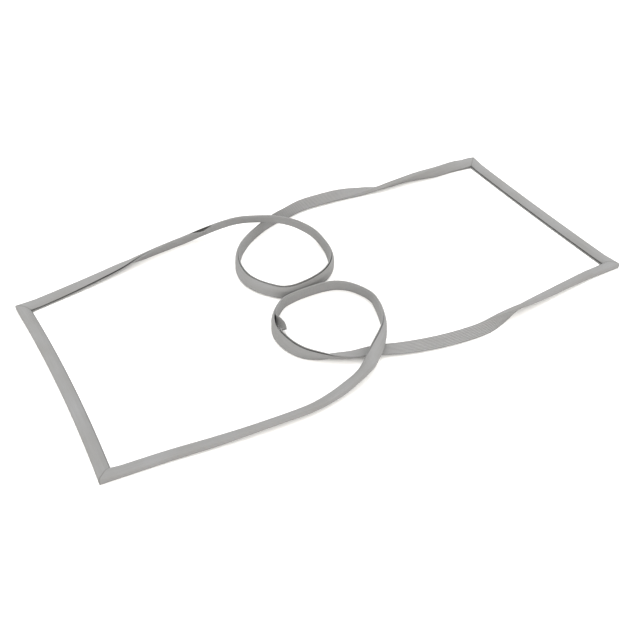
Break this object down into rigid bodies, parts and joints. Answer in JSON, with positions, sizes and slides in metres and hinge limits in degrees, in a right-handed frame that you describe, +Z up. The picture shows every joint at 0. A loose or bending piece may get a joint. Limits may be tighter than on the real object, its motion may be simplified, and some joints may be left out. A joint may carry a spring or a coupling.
{
  "type": "lid gasket",
  "caption": "Magnetic lid seal for a chest freezer: a soft welded profile frame with magnet strips in its pocket, lying loose with a loop in each long side",
  "frame": {"origin": "on the ground, under the middle of the lying gasket", "axes": "+X from the left short side to the right one, +Y from front to rear, +Z up from the ground to the sealing face"},
  "size_m": [1.2804, 0.6572, 0.0569],
  "materials": {
    "soft_profile": "satin grey soft vinyl, finely ribbed on the back",
    "magnet": "matt brown-black bonded magnet strip"
  },
  "bodies": {
    "root": {"gasket_profile": "soft_profile", "magnet_strip_front": "magnet", "magnet_strip_right": "magnet", "magnet_strip_rear": "magnet", "magnet_strip_left": "magnet"}
  },
  "joints": []
}
